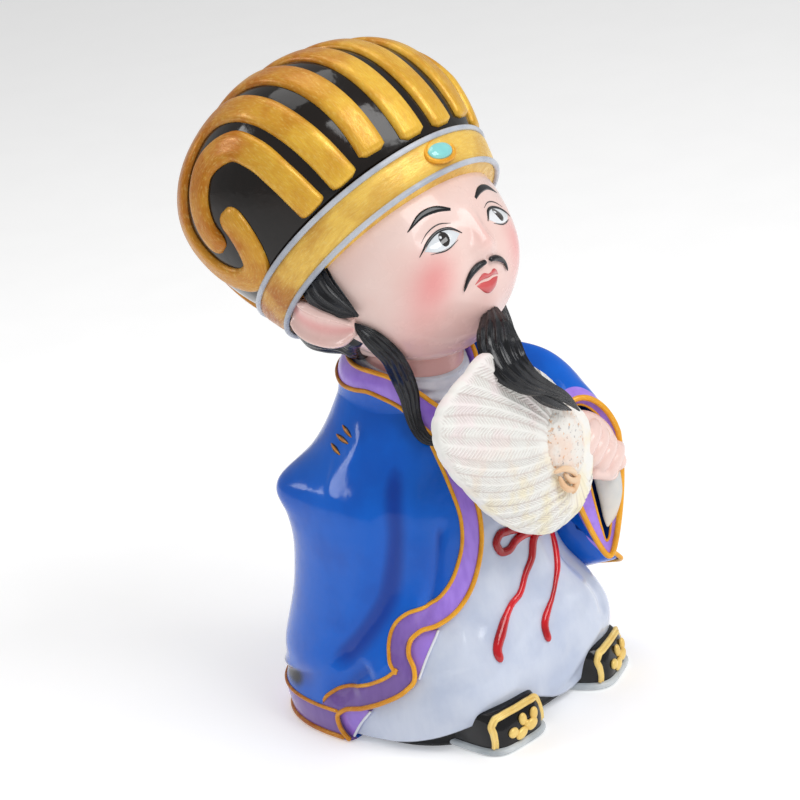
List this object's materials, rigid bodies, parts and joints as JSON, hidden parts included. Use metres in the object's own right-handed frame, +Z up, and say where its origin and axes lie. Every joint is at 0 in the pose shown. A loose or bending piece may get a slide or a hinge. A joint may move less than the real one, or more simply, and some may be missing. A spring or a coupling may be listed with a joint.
{
  "type": "scholar figurine",
  "caption": "Painted cast figurine of a standing scholar with a tall ribbed hat, wide cloak and long beard, holding a round feather fan; it stands on a shelf by its own weight.",
  "frame": {"origin": "middle of the underside, at the centre of the object's outline seen from above", "axes": "+Z up through the hat, -Y towards the figure's front, +X towards the figure's left hand, which holds the fan"},
  "size_m": [0.1088, 0.1328, 0.2333],
  "materials": {
    "cloak_blue": "glossy paint",
    "feather_white": "matt paint",
    "robe_pale": "glossy paint",
    "border_lilac": "glossy paint",
    "gold": "satin gold paint",
    "hair_black": "glossy paint",
    "skin": "satin paint",
    "cord_red": "glossy paint",
    "linen_white": "satin paint",
    "jewel": "glossy paint"
  },
  "bodies": {
    "root": {"figure": "cloak_blue", "feather_fan": "feather_white"}
  },
  "joints": []
}
